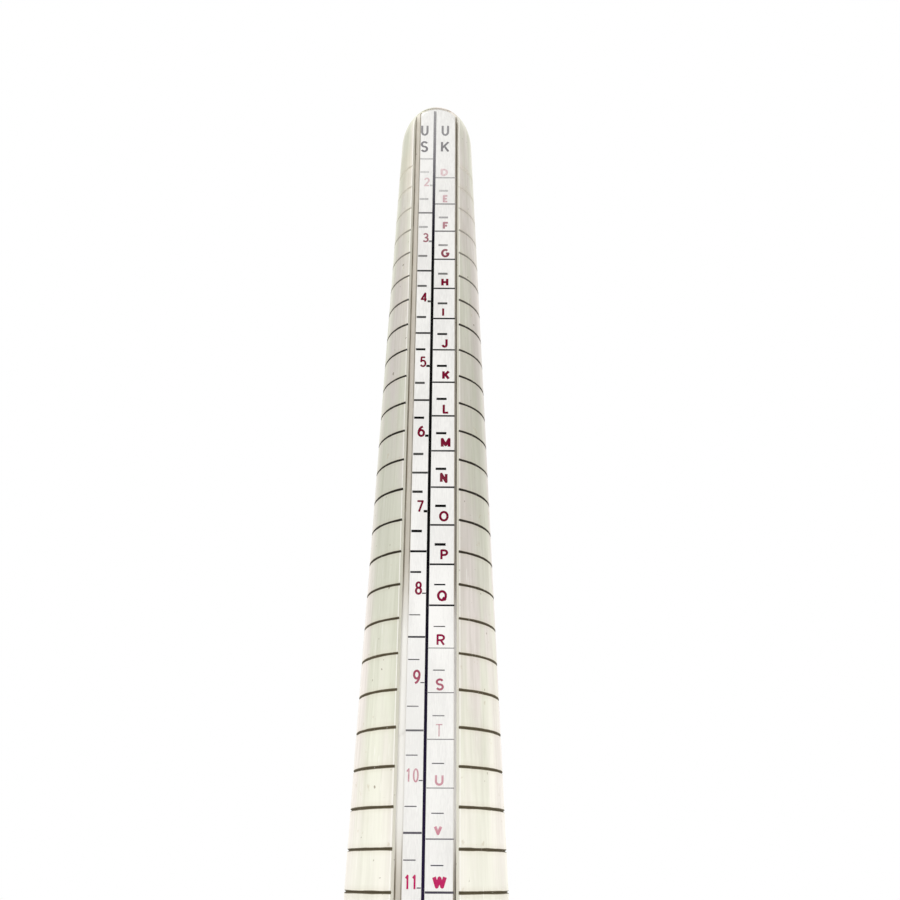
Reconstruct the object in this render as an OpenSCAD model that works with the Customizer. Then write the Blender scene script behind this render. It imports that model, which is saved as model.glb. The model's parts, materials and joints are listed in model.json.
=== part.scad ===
// Ring mandrel: a tapered gauge bar with engraved circumference grooves and two inlaid
// scale strips, on a turned handle that is clamped by a stud.
// Millimetres. +Z runs along the bar to its tip, the butt face lies on z = 0,
// and the US / UK scale faces -Y.

/* [Scale] */
// Inside circumference of the smallest ring, at the first groove
first_size = 41; // [40:1:44]
// Inside circumference of the largest ring, at the last groove
last_size = 76; // [68:1:78]
// Distance between neighbouring grooves, which are 1 mm of circumference apart
groove_pitch = 4.7; // [4.5:0.1:5]
// Width of a groove at the surface
groove_w = 0.32; // [0.2:0.02:0.5]
// Depth of a groove
groove_d = 0.22; // [0.1:0.02:0.3]

/* [Barrel] */
// Plain length between the handle and the last groove
run_in = 9; // [6:0.5:15]
// Distance from the first groove to the start of the domed tip
tip_run = 8; // [6:0.5:12]
// Length of the domed tip
dome_len = 8.5; // [6:0.5:10]
// Diameter of the spigot that centres the barrel in its collar
spigot_dia = 17; // [14:0.5:18]
// Length of that spigot
spigot_len = 3; // [2:0.5:4]
// Depth of the tapped hole in the base
stud_hole_depth = 18; // [14:1:24]

/* [Scale strips] */
// Width of the channel that holds a strip
channel_w = 7.3; // [6.9:0.1:7.6]
// Depth of the channel floor under the crown of the barrel
channel_d = 2.35; // [2.2:0.05:2.6]
// Chamfer along the edges of the channel
channel_chamfer = 0.55; // [0.4:0.05:0.7]
// Width of a scale strip
strip_w = 6.2; // [6:0.1:6.5]
// Thickness of a scale strip
strip_t = 0.8; // [0.6:0.05:1]
// Thickness of the bonding tape under a strip
tape_t = 0.1; // [0.05:0.05:0.15]

/* [Handle] */
// Length of the whole handle, from the butt face to the barrel
handle_len = 88; // [84:1:96]
// Largest diameter of the grip
belly_dia = 31; // [29:0.5:33]
// Diameter of the grip at its waist, behind the ferrule
waist_dia = 24.4; // [24:0.2:26]
// Outer diameter of the collar
collar_dia = 27.4; // [26:0.2:30]
// Thickness of the collar
collar_t = 6; // [5:0.5:8]
// Outer diameter of the ferrule
ferrule_dia = 23.6; // [22:0.2:24]
// Length of the ferrule
ferrule_len = 14; // [10:0.5:16]
// Wall of the ferrule
ferrule_wall = 1; // [0.8:0.1:1.4]
// Outer diameter of the butt cap
cap_dia = 30; // [28:0.2:31]
// Thickness of the butt cap's flange
cap_t = 8; // [6:0.5:10]

/* [Fasteners] */
// Diameter of the stud
stud_dia = 8; // [6:0.5:8]
// Across flats of the nut
nut_flats = 13; // [11:0.5:13]
// Height of the nut
nut_h = 6.5; // [5:0.1:7]
// Outer diameter of the washer
washer_dia = 16; // [15:0.5:16.5]
// Thickness of the washer
washer_t = 1.6; // [1:0.1:2]
// Diameter of the brads through the ferrule
brad_dia = 1.6; // [1.2:0.1:2]

/* [Hidden] */
$fn = 96;

// Seats: the gap left round every piece that goes into another
seat = 0.03;

// Scale stations along the axis
base_z = handle_len;
last_z = base_z + run_in;
first_z = last_z + (last_size - first_size) * groove_pitch;
dome_z = first_z + tip_run;
taper = 1 / (2 * PI * groove_pitch);
taper_angle = atan(taper);

// Channel and strips, seen from outside with the tip up
channel_end = dome_z - base_z + 12;
strip_gap = 0.25;
strip_right = channel_w / 2 - strip_gap;
strip_depth = channel_d - tape_t - strip_t;
strip_inset = 0.25;
tape_margin = 0.3;
edge_stations = 2;
drill_point = 118;

// Handle stack, from the butt up
grip_z = cap_t;
grip_top = base_z - collar_t;
neck_z = grip_top - ferrule_len;
pocket_dia = washer_dia + 1;
pocket_depth = 16;
washer_z = grip_z + pocket_depth - washer_t;
nut_z = washer_z - nut_h;
stud_z = nut_z - 2;
stud_top = base_z + stud_hole_depth - 3;
cap_spigot_len = 5;
belly_z = 30;
ring_heights = [neck_z - 8, neck_z - 5];
ring_depth = 0.6;
ring_w = 0.9;

aluminium = [0.79, 0.77, 0.72];
strip_silver = [0.93, 0.93, 0.92];
tape_grey = [0.62, 0.61, 0.58];
steel = [0.62, 0.63, 0.65];
brass = [0.79, 0.63, 0.33];
beech = [0.72, 0.47, 0.26];

// Radius of the barrel at height z
function barrel_r(z) = first_size / (2 * PI) + (first_z - z) * taper;

// Height above the axis of the channel's edge at height z
function edge_y(z) = sqrt(pow(barrel_r(z), 2) - pow(channel_w / 2, 2));

// The three corners of the vee groove at height z, from the butt side up
function groove_points(z) = [
    [barrel_r(z - groove_w / 2), z - groove_w / 2],
    [barrel_r(z) - groove_d, z],
    [barrel_r(z + groove_w / 2), z + groove_w / 2]
];

// Part of a circle of radius r about (cx, cz), from angle a0 to a1
function arc(cx, cz, r, a0, a1, steps) =
    [for (i = [0:steps]) let (a = a0 + (a1 - a0) * i / steps) [cx + r * cos(a), cz + r * sin(a)]];

// A quarter ellipse from radius r at dome_z to the axis, for the domed tip
function dome_points(inset = 0, steps = 14) =
    [for (i = [0:steps]) let (a = 90 * i / steps)
        [(barrel_r(dome_z) - inset) * cos(a), dome_z + (dome_len - inset) * sin(a)]];

// Smooth step from 0 to 1
function ease(t) = (1 - cos(180 * t)) / 2;

// Radius of the grip at height z: belly, waist and the swell at the butt
function grip_r(z) =
    z < belly_z
        ? cap_dia / 2 + (belly_dia - cap_dia) / 2 * ease((z - grip_z) / (belly_z - grip_z))
        : belly_dia / 2 - (belly_dia - waist_dia) / 2 * ease((z - belly_z) / (neck_z - belly_z));

// Outline of the barrel above its base, shrunk by inset, without its grooves
module barrel_envelope(inset = 0) {
    rotate_extrude()
        polygon(concat([[0, base_z], [barrel_r(base_z) - inset, base_z]], dome_points(inset)));
}

// Places a strip, tape or channel along the crown of the barrel, with y as depth under the crown
module along_crown() {
    translate([0, -barrel_r(base_z), base_z])
        rotate([-taper_angle, 0, 0])
            children();
}

module channel_cut() {
    along_crown()
        translate([-channel_w / 2, -4, -6])
            cube([channel_w, channel_d + 4, channel_end]);
}

// Square bars that break both edges of the channel, in straight stretches
module channel_edge_cut() {
    stretch = (dome_z + 3 - base_z) / edge_stations;
    bar = channel_chamfer * sqrt(2);
    for (side = [-1, 1], i = [0:edge_stations - 1]) {
        z0 = base_z + i * stretch;
        rise = edge_y(z0) - edge_y(z0 + stretch);
        translate([side * channel_w / 2, -edge_y(z0), z0])
            rotate([-atan(rise / stretch), 0, 0])
                rotate([0, 0, 45])
                    translate([-bar / 2, -bar / 2, -0.01])
                        cube([bar, bar, norm([rise, stretch]) + 0.02]);
    }
}

// A flat piece in the channel, from depth y0, cut to the dome at the tip
module channel_piece(left, right, y0, thick) {
    intersection() {
        barrel_envelope(strip_inset);
        along_crown()
            translate([left, y0, 0.6])
                cube([right - left, thick, channel_end]);
    }
}

module barrel() {
    color(aluminium)
        difference() {
            rotate_extrude()
                polygon(concat(
                    [[0, base_z - spigot_len],
                     [spigot_dia / 2, base_z - spigot_len],
                     [spigot_dia / 2, base_z],
                     [barrel_r(base_z), base_z]],
                    [for (s = [last_size:-1:first_size], p = groove_points(last_z + (last_size - s) * groove_pitch)) p],
                    dome_points()
                ));
            for (turn = [0, 180])
                rotate([0, 0, turn]) {
                    channel_cut();
                    channel_edge_cut();
                }
            translate([0, 0, base_z - spigot_len - 1])
                cylinder(d = stud_dia, h = stud_hole_depth + spigot_len + 1);
            translate([0, 0, base_z + stud_hole_depth])
                cylinder(d1 = stud_dia, d2 = 0, h = stud_dia / 2 / tan(drill_point / 2));
        }
}

module scale_strip() {
    color(strip_silver)
        channel_piece(strip_right - strip_w, strip_right, strip_depth, strip_t);
}

module strip_tape() {
    color(tape_grey)
        channel_piece(strip_right - strip_w + tape_margin, strip_right - tape_margin,
                      strip_depth + strip_t, tape_t);
}

module collar() {
    edge = 1;
    color(aluminium)
        difference() {
            translate([0, 0, grip_top])
                rotate_extrude()
                    polygon(concat(
                        [[0, 0]],
                        arc(collar_dia / 2 - edge, edge, edge, -90, 0, 6),
                        arc(collar_dia / 2 - edge, collar_t - edge, edge, 0, 90, 6),
                        [[0, collar_t]]
                    ));
            translate([0, 0, base_z - spigot_len])
                cylinder(d = spigot_dia + 2 * seat, h = spigot_len + 1);
            translate([0, 0, grip_top - 1])
                cylinder(d = stud_dia + 0.4, h = collar_t + 2);
        }
}

module tang_stud() {
    point = 0.8;
    r = stud_dia / 2 - seat;
    color(steel)
        rotate_extrude()
            polygon([[0, stud_z], [r - point, stud_z], [r, stud_z + point],
                     [r, stud_top - point], [r - point, stud_top], [0, stud_top]]);
}

// The two brads through the ferrule, or with a gap round them the holes that they sit in
module brad_shapes(gap) {
    inner = 6.5;
    outer = ferrule_dia / 2 + 0.15;
    for (turn = [0, 180])
        rotate([0, 0, turn])
            translate([inner - gap, 0, grip_top - ferrule_len / 2])
                rotate([0, 90, 0])
                    cylinder(d = brad_dia + 2 * gap, h = outer - inner + 2 * gap);
}

module ferrule() {
    lip = 0.5;
    bead = 0.7;
    outer = ferrule_dia / 2;
    inner = outer - ferrule_wall;
    color(brass)
        difference() {
            rotate_extrude()
                polygon(concat(
                    [[inner, neck_z]],
                    arc(outer - 0.2, neck_z + bead, bead, -90, 73, 8),
                    [[outer, grip_top - 2 * lip], [outer - lip, grip_top], [inner, grip_top]]
                ));
            brad_shapes(seat);
        }
}

module ferrule_brads() {
    color(brass) brad_shapes(0);
}

// The turned vee rings below the neck of the grip
module grip_rings() {
    for (z = ring_heights)
        translate([0, 0, z])
            rotate_extrude()
                polygon([[grip_r(z) - ring_depth, 0], [grip_r(z) + 1, -ring_w], [grip_r(z) + 1, ring_w]]);
}

module grip() {
    steps = 40;
    neck_r = ferrule_dia / 2 - ferrule_wall - seat;
    shoulder = 0.8;
    color(beech)
        difference() {
            rotate_extrude()
                polygon(concat(
                    [[0, grip_z]],
                    [for (i = [0:steps]) let (z = grip_z + (neck_z - shoulder - grip_z) * i / steps)
                        [grip_r(z), z]],
                    [[grip_r(neck_z) - shoulder / 2, neck_z - seat],
                     [neck_r, neck_z - seat], [neck_r, grip_top], [0, grip_top]]
                ));
            translate([0, 0, grip_z - 1])
                cylinder(d = stud_dia + 0.6, h = grip_top - grip_z + 2);
            translate([0, 0, grip_z - 1])
                cylinder(d = pocket_dia, h = pocket_depth + 1);
            brad_shapes(seat);
            grip_rings();
        }
}

module butt_washer() {
    color(steel)
        translate([0, 0, washer_z])
            difference() {
                cylinder(d = washer_dia, h = washer_t);
                translate([0, 0, -1]) cylinder(d = stud_dia + 0.4, h = washer_t + 2);
            }
}

module butt_nut() {
    corner_r = nut_flats / 2 / cos(30);
    break_h = 0.7;
    color(steel)
        translate([0, 0, nut_z])
            difference() {
                intersection() {
                    cylinder(r = corner_r, h = nut_h, $fn = 6);
                    rotate_extrude()
                        polygon([[0, 0], [corner_r - break_h, 0], [corner_r + 0.2, break_h * 0.7],
                                 [corner_r + 0.2, nut_h - break_h * 0.7], [corner_r - break_h, nut_h],
                                 [0, nut_h]]);
                }
                translate([0, 0, -1]) cylinder(d = stud_dia, h = nut_h + 2);
            }
}

module butt_cap() {
    foot_edge = 1.2;
    top_edge = 0.4;
    spigot_r = pocket_dia / 2 - seat;
    color(aluminium)
        rotate_extrude()
            polygon(concat(
                [[0, 0]],
                arc(cap_dia / 2 - foot_edge, foot_edge, foot_edge, -90, 0, 8),
                [[cap_dia / 2, cap_t - top_edge], [cap_dia / 2 - top_edge, cap_t],
                 [spigot_r, cap_t], [spigot_r, cap_t + cap_spigot_len], [0, cap_t + cap_spigot_len]]
            ));
}

barrel();
scale_strip();  // us_uk_strip
rotate([0, 0, 180]) scale_strip();  // eu_jp_strip
strip_tape();  // us_uk_strip_tape
rotate([0, 0, 180]) strip_tape();  // eu_jp_strip_tape
collar();
tang_stud();
ferrule();
ferrule_brads();
grip();
butt_washer();
butt_nut();
butt_cap();
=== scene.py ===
import json
import math

import bmesh
import bpy
from bpy.props import FloatProperty, FloatVectorProperty, IntProperty, PointerProperty
from mathutils import Matrix, Vector
from mathutils.geometry import delaunay_2d_cdt

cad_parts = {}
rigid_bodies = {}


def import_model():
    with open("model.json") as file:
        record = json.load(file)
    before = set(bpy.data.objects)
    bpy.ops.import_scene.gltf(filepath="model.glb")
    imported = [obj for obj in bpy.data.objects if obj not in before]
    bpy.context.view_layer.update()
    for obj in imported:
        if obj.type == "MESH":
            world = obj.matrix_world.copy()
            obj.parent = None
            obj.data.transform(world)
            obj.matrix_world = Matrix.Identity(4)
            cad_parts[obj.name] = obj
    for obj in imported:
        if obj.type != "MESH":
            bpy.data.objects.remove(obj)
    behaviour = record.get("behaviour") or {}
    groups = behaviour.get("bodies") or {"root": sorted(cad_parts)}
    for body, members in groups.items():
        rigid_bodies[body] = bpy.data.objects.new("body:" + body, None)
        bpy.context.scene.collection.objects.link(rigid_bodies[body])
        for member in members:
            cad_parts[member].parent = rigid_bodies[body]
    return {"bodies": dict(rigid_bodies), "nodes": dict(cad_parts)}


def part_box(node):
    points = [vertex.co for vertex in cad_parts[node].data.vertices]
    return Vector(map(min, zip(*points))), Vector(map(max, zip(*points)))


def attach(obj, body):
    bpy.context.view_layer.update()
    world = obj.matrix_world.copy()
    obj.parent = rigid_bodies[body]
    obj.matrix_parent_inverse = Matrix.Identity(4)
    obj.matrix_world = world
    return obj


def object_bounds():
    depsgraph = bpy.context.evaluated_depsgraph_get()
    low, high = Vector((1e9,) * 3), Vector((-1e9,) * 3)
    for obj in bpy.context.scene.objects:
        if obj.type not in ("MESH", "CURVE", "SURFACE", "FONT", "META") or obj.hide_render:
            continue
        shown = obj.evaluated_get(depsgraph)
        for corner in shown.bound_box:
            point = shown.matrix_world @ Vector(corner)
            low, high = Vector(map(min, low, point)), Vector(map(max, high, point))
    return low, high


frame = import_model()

bl_info = {
    "name": "Ring mandrel",
    "version": (1, 0, 0),
    "blender": (4, 5, 0),
    "location": "View3D > Sidebar > Ring mandrel",
    "description": "Finishes, printed size scales and studio for a tapered ring mandrel",
    "category": "Object",
}

MM = 0.001
CAD_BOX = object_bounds()
BODY = next(iter(frame["bodies"]))


def mm(*values):
    """These millimetres in metres."""
    return tuple(value * MM for value in values)


# Where hands, rings and age have changed the tool, and where light is painted towards the grip: pairs of
# distances below the first groove, between which the change grows from nothing to full. What handling and the
# painted light do ends again over the pair listed first, and the printed lines and ticks have four distances:
# the change starts, is full, lessens, and has ended.
WEAR_AND_LIGHT_END = mm(104, 113)
# Painted highlight on the channel floor towards the grip, where the channel's painted shade fades too
CHANNEL_HIGHLIGHT = mm(70, 82)
STRIP_SHADE_FADES = mm(74, 86)
# Over this pair the painted shade along the strips' edges fades towards the grip
HELD_PRINT = mm(84, 95)
THIN_LINES = (*mm(77, 83), *WEAR_AND_LIGHT_END)
THIN_TICKS = mm(69, 79, 118, 128)
NARROW_DIVIDER = mm(56, 96)
RUBBED_GROOVES = mm(-2, 36)
PALE_GROOVES = mm(62, 88)
# Painted highlight: the barrel is painted lighter towards the grip
BARREL_HIGHLIGHT = mm(89, 113)
AGED_PRINT = mm(66, 112)
AGED_TIP = mm(0, 24)

PITH = mm(34, 11)  # from the grip's axis to the middle of the tree it was cut from
GROWTH_RING = 2.3 * MM
HEAD_SIDES = 40  # facets round a brad's domed head
HEAD_SUNK = 0.1 * MM  # how deep the heads sit over the brads' ends

SENSOR_MM = 36.0
NEAREST_SEEN = 5 * MM
FLOOR_REACH = 4.0
FLOOR_GAP = 0.2 * MM
FLOOR_TONES = ((0.88, 0.88, 0.88), (0.91, 0.91, 0.905))
ROOM_TINT = (1.0, 0.985, 0.955)
# Name, place, size and power of each lamp
LAMPS = (
    ("front softbox", (-0.05, -0.62, 0.42), 0.30, 0.10),
    ("top softbox", (-0.35, -0.2, 0.85), 0.4, 1.0),
)


# ------------------------------------------------------------------ properties


def number(name, description, default, **more):
    """A number property."""
    return FloatProperty(name=name, description=description, default=default, **more)


def length(name, description, millimetres):
    """A length property, given in millimetres."""
    return number(name, description, millimetres * MM, unit="LENGTH", min=0.0, precision=6)


def angle(name, description, degrees):
    """An angle property, given in degrees."""
    return number(name, description, math.radians(degrees), subtype="ANGLE")


def colour(name, description, default):
    """A colour property with a swatch."""
    return FloatVectorProperty(
        name=name, description=description, default=default, subtype="COLOR", size=3, min=0.0, max=1.0
    )


class MandrelSizes(bpy.types.PropertyGroup):
    """Where the engraved lines and the printed scales lie."""

    first_size: IntProperty(name="First size", description="First groove's circumference in mm", default=41)
    last_size: IntProperty(name="Last size", description="Last groove's circumference in mm", default=76)
    groove_pitch: length("Groove pitch", "Distance between grooves", 4.7)
    groove_width: length("Groove width", "Width of the dark engraved line", 0.42)
    tip_length: length("Tip length", "From the first groove to the end of the dome", 16.5)
    dome_start: length("Dome start", "From the first groove to the start of the dome", 8.0)
    channel_half: length("Channel half width", "From its middle to its wall", 3.65)
    channel_depth: length("Channel depth", "From the barrel's crown to its floor", 2.35)
    strip_left: length("Strip's left edge", "From the channel's middle", 2.8)
    strip_right: length("Strip's right edge", "From the channel's middle", 3.4)
    us_at_first: number("US at first groove", "US size level with the first groove", 1.636)
    us_pitch: length("US pitch", "Between whole US sizes", 12.0)
    uk_first_line: length("UK first line", "From the first groove to the line under D", 2.64)
    uk_pitch: length("UK pitch", "Between UK letters", 5.8)
    jp_first: length("JP first line", "From the first groove to JP size 1, towards the tip", 0.69)
    jp_pitch: length("JP pitch", "Between JP sizes", 4.92)
    divider_width: length("Divider width", "Width of the line between the columns", 0.47)
    divider_left: length("Divider place", "From the strip's left edge to the divider", 2.31)
    divider_worn: length("Divider, worn", "Its width where handling has rubbed it", 0.35)
    divider_top: length("Divider top", "From the first groove up to the divider's end", 12.9)
    line_thickness: length("Line thickness", "Thickness of the full lines", 0.31)
    tick_thickness: length("Tick thickness", "Thickness of the short ticks", 0.37)
    digit_height: length("Digit height", "Height of the printed numbers", 1.9)
    digit_pen: length("Digit pen", "Stroke width of the numbers", 0.285)
    letter_height: length("Letter height", "Height of the printed letters", 1.69)
    heading_height: length("Heading height", "Height of the headings at the tip", 2.55)
    heading_pen: length("Heading pen", "Stroke width of the headings", 0.37)
    brad_head: length("Brad head", "Radius of the domed heads on the ferrule", 1.25)
    brad_rise: length("Brad rise", "Height of the domed heads", 0.5)
    ink_relief: length("Ink relief", "How far the print stands above the strip", 0.015)


class MandrelColours(bpy.types.PropertyGroup):
    """Colours of the finishes."""

    aluminium_light: colour("Aluminium, light", "Bright streaks of the barrel", (0.845, 0.83, 0.77))
    aluminium_dark: colour("Aluminium, dark", "Dull streaks of the barrel", (0.70, 0.69, 0.62))
    aluminium_turned: colour("Aluminium, turned", "Collar and butt cap", (0.78, 0.765, 0.725))
    cast_pink: colour("Cast, pink", "Faint warm tint in the barrel's finish", (1.0, 0.957, 0.995))
    cast_green: colour("Cast, green", "Faint cool tint in the barrel's finish", (0.966, 1.0, 0.938))
    tarnish: colour("Tarnish", "Handled patches of the barrel", (0.64, 0.58, 0.46))
    # Painted highlight: the barrel's colour towards the grip
    aluminium_clean: colour("Aluminium, clean", "The barrel towards the grip", (0.96, 0.945, 0.885))
    groove_dark: colour("Groove, dark", "Dirt in the engraved lines near the tip", (0.026, 0.020, 0.012))
    groove_ink: colour("Groove", "Dirt and oxide in the engraved lines", (0.145, 0.120, 0.072))
    broken_edge: colour("Broken edge", "Dull chamfers along the channels", (0.72, 0.71, 0.62))
    # Scratches, and the painted highlight where the chamfer meets the crown
    rubbed_edge: colour("Rubbed edge", "Where the chamfer meets the crown", (0.95, 0.94, 0.90))
    channel_floor: colour("Channel floor", "Bare floor beside the strip", (0.94, 0.89, 0.80))
    # Painted highlight: the channel floor's colour towards the grip
    channel_clean: colour("Channel, wiped", "Floor where handling has kept it clean", (0.97, 0.965, 0.95))
    # Painted shade in the channel's corners, at the strip's foot and along the strips' edges; also the colour
    # of dirt specks
    channel_corner: colour("Channel corner", "Brown dirt in the channel's corners", (0.22, 0.18, 0.115))
    strip: colour("Strip", "Face of the scale strips", (0.87, 0.87, 0.865))
    black_ink: colour("Black ink", "Lines and headings", (0.002, 0.002, 0.002))
    black_aged: colour("Black ink, aged", "Where the black ink has turned", (0.016, 0.009, 0.036))
    red_ink: colour("Red ink", "Numbers and letters", (0.17, 0.002, 0.024))
    red_aged: colour("Red ink, aged", "Where the red ink has turned", (0.50, 0.005, 0.11))
    wood_light: colour("Wood, light", "Early wood of the grip", (0.60, 0.36, 0.175))
    wood_mid: colour("Wood, mid", "Late wood of the grip", (0.42, 0.215, 0.09))
    wood_dark: colour("Wood, dark", "Flecks and pores of the grip", (0.20, 0.09, 0.035))
    brass: colour("Brass", "Ferrule and brads", (0.75, 0.55, 0.25))
    steel: colour("Steel", "Stud, nut and washer", (0.62, 0.63, 0.65))
    steel_dull: colour("Steel, dull", "Where the zinc on the steel has yellowed", (0.45, 0.43, 0.36))
    tape: colour("Tape", "Bonding tape under the strips", (0.86, 0.85, 0.80))


class MandrelStudio(bpy.types.PropertyGroup):
    """Camera and light."""

    camera_forward: length("Camera distance", "From the axis to the camera", 129.18)
    camera_drop: length("Camera drop", "From the first groove down to the camera", 110.93)
    camera_side: length("Camera side", "From the axis to the camera, to the right", 0.18)
    camera_rise: angle("Camera rise", "Angle of view above the level", 24.74)
    camera_turn: angle("Camera turn", "Turn of the view to the right", 2.41)
    camera_orbit: angle("Camera orbit", "Turn of the camera round the tool", 1.1)
    camera_roll: angle("Camera roll", "Roll of the view", 2.94)
    focal_mm: number("Focal length", "For a 36 mm wide sensor", 36.96)
    front_glow: number("Front glow", "Brightness in front of the tool", 0.80)
    side_glow: number("Side glow", "Brightness beside the tool", 0.67)
    back_glow: number("Back glow", "Brightness behind the tool", 1.0)
    low_lift: number("Low lift", "Extra brightness near the floor", 1.0)
    high_lift: number("High lift", "Extra brightness overhead", 0.33)
    brightest: number("Brightest", "Limit of the room's brightness", 1.2)


def sizes():
    return bpy.context.scene.mandrel_sizes


def colours():
    return bpy.context.scene.mandrel_colours


def studio():
    return bpy.context.scene.mandrel_studio


# ------------------------------------------------------------------ places on the tool


def first_groove_z():
    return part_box("barrel")[1].z - sizes().tip_length


def taper():
    """Radius gained for each metre away from the tip."""
    return MM / (2 * math.pi * sizes().groove_pitch)


class StripFace:
    """The face of one strip: u runs across it to the right, v up it, and w out of it."""

    def __init__(self, node):
        low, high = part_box(node)
        behind = (low.y + high.y) > 0
        turn = Matrix.Rotation(math.pi, 4, "Z") if behind else Matrix.Identity(4)
        points = [turn @ vertex.co for vertex in frame["nodes"][node].data.vertices]
        foot = min(points, key=lambda point: point.y)
        left = min(point.x for point in points)
        self.width = max(point.x for point in points) - left
        self.low_z = foot.z
        self.slope = math.atan(taper())
        lean = Matrix.Rotation(-self.slope, 4, "X")
        upright = Matrix(((1, 0, 0, 0), (0, 0, -1, 0), (0, 1, 0, 0), (0, 0, 0, 1)))
        self.matrix = turn @ Matrix.Translation((left, foot.y, foot.z)) @ lean @ upright

    def v_at(self, travel):
        """How far up the strip a station lies that is travel below the first groove."""
        return (first_groove_z() - travel - self.low_z) / math.cos(self.slope)


# ------------------------------------------------------------------ nodes


def maths(operation):
    """A method of a value that adds one maths node."""
    return lambda *values: values[0].nodes.calc(operation, *values)


class Value:
    """An output of a node; arithmetic with it adds maths nodes."""

    def __init__(self, nodes, socket):
        self.nodes, self.socket = nodes, socket

    __add__ = maths("ADD")
    __sub__ = maths("SUBTRACT")
    __mul__ = maths("MULTIPLY")
    __truediv__ = maths("DIVIDE")
    __lt__ = maths("LESS_THAN")
    __gt__ = maths("GREATER_THAN")
    __abs__ = maths("ABSOLUTE")
    root = maths("SQRT")
    fraction = maths("FRACT")
    rounded = maths("ROUND")
    sign = maths("SIGN")

    def __rsub__(self, other):
        return self.nodes.calc("SUBTRACT", other, self)

    def ramp(self, low, high, to_low=0.0, to_high=1.0):
        """A smooth change from to_low to to_high as this value goes from low to high."""
        limits = {"Value": self, "From Min": low, "From Max": high, "To Min": to_low, "To Max": to_high}
        return self.nodes.value("ShaderNodeMapRange", limits, interpolation_type="SMOOTHSTEP")


larger = maths("MAXIMUM")
smaller = maths("MINIMUM")


class Nodes:
    """Adds nodes to one tree."""

    def __init__(self, tree):
        self.tree = tree

    def add(self, kind, inputs=None, **settings):
        """Adds a node, sets its options, and sets or links its inputs."""
        node = self.tree.nodes.new(kind)
        for key, value in settings.items():
            setattr(node, key, value)
        for key, value in (inputs or {}).items():
            if isinstance(value, Value):
                self.tree.links.new(value.socket, node.inputs[key])
            else:
                node.inputs[key].default_value = value
        return node

    def value(self, kind, inputs=None, output=0, **settings):
        """Adds a node and gives one of its outputs."""
        return Value(self, self.add(kind, inputs, **settings).outputs[output])

    def calc(self, operation, *values, clamp=False):
        """One maths step."""
        given = dict(enumerate(values))
        return self.value("ShaderNodeMath", given, operation=operation, use_clamp=clamp)

    def point(self, x=0.0, y=0.0, z=0.0):
        """A point or size made of three numbers."""
        return self.value("ShaderNodeCombineXYZ", {0: x, 1: y, 2: z})

    def split(self, point):
        """The three numbers of a point."""
        return [Value(self, axis) for axis in self.add("ShaderNodeSeparateXYZ", {0: point}).outputs]

    def mix(self, amount, first, second, mode="MIX"):
        """Mixes two colours by amount."""
        pair = [part if isinstance(part, Value) else (*part, 1.0) for part in (first, second)]
        given = {0: amount, 6: pair[0], 7: pair[1]}
        return self.value("ShaderNodeMix", given, 2, data_type="RGBA", blend_type=mode)

    def blend(self, amount, first, second):
        """Mixes two numbers by amount."""
        return self.value("ShaderNodeMix", {0: amount, 2: first, 3: second}, data_type="FLOAT")


class Finish(Nodes):
    """A new material with one Principled shader, whose base colour is built up coat by coat."""

    def __init__(self, name, **constants):
        self.material = bpy.data.materials.new(name)
        self.material.use_nodes = True
        super().__init__(self.material.node_tree)
        self.tree.nodes.clear()
        self.place = self.value("ShaderNodeTexCoord", output="Object")
        self.shader = self.add("ShaderNodeBsdfPrincipled")
        self.add("ShaderNodeOutputMaterial", {"Surface": Value(self, self.shader.outputs["BSDF"])})
        for key, value in constants.items():
            self.shader.inputs[key.replace("_", " ")].default_value = value
        self.tone = None

    def axes(self):
        """The X, Y and Z of the place that is shaded."""
        return self.split(self.place)

    def noise(self, stretch, detail=3.0, roughness=0.55, offset=(0.0, 0.0, 0.0), at=None):
        """Noise with its own number of waves per metre along X, Y and Z."""
        place = {"Vector": at or self.place, "Scale": stretch, "Location": offset}
        placed = self.value("ShaderNodeMapping", place)
        given = {"Vector": placed, "Scale": 1.0, "Detail": detail, "Roughness": roughness}
        return self.value("ShaderNodeTexNoise", given, "Fac")

    def bump(self, height, distance, strength):
        return self.value("ShaderNodeBump", {"Height": height, "Distance": distance, "Strength": strength})

    def base(self, amount, first, second):
        """Starts the tone as a mix of two colours."""
        self.tone = self.mix(amount, first, second)

    def coat(self, amount, tint, mode="MIX"):
        """Lays a colour over the tone."""
        self.tone = self.mix(amount, self.tone, tint, mode)

    def done(self, **links):
        """Links the tone and these values to the shader, and gives the material."""
        for key, value in {"Base_Color": self.tone, **links}.items():
            self.tree.links.new(value.socket, self.shader.inputs[key.replace("_", " ")])
        return self.material


def shaded(tint, *factors):
    """A colour made lighter or darker, by one factor or by one for each channel."""
    if len(factors) == 1:
        factors *= 3
    return tuple(min(1.0, part * factor) for part, factor in zip(tint, factors))


def new_object(name, data):
    """A new object in the scene."""
    thing = bpy.data.objects.new(name, data)
    bpy.context.scene.collection.objects.link(thing)
    return thing


def wear_finish(node, material):
    """Gives a CAD node its finish."""
    for place in frame["nodes"][node].material_slots:
        place.material = material


# ------------------------------------------------------------------ finishes


def handled(below, grows):
    """How much a place lies in a band towards the grip, where fingers and rings wear the print and where
    light is painted on the channel floor and the strips' edges: it grows over one distance, then ends.
    """
    return below.ramp(*grows) * below.ramp(*WEAR_AND_LIGHT_END, 1.0, 0.0)


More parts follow.
